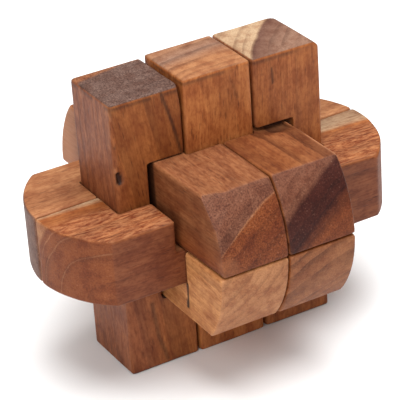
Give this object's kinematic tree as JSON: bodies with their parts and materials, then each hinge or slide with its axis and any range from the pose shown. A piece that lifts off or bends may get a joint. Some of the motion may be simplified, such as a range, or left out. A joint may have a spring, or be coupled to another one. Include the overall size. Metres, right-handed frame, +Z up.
{
  "type": "wooden burr puzzle",
  "caption": "Wooden burr puzzle of notched square sticks locked in three directions; a plain middle upright slides out as the key.",
  "frame": {"origin": "on the table, in the middle of the uprights' feet", "axes": "+X along the row of uprights and the long sticks, +Y along the cross sticks from front to back, +Z up along the uprights"},
  "size_m": [0.1, 0.0826, 0.0804],
  "materials": {
    "left_upright_wood": "satin oiled, sanded",
    "key_upright_wood": "satin oiled, sanded",
    "right_upright_wood": "satin oiled, sanded",
    "front_long_stick_wood": "satin oiled, sanded",
    "back_long_stick_wood": "satin oiled, sanded",
    "left_upper_cross_stick_wood": "satin oiled, sanded",
    "right_upper_cross_stick_wood": "satin oiled, sanded",
    "left_lower_cross_stick_wood": "satin oiled, sanded",
    "right_lower_cross_stick_wood": "satin oiled, sanded"
  },
  "bodies": {
    "locked_sticks": {"left_upright": "left_upright_wood", "right_upright": "right_upright_wood", "front_long_stick": "front_long_stick_wood", "back_long_stick": "back_long_stick_wood", "left_upper_cross_stick": "left_upper_cross_stick_wood", "right_upper_cross_stick": "right_upper_cross_stick_wood", "left_lower_cross_stick": "left_lower_cross_stick_wood", "right_lower_cross_stick": "right_lower_cross_stick_wood"},
    "key": {"key_upright": "key_upright_wood"}
  },
  "joints": [
    {"name": "key_slide", "type": "slide", "parent": "locked_sticks", "child": "key", "axis": [0, 0, 1], "range_m": [0, 0.085]}
  ]
}
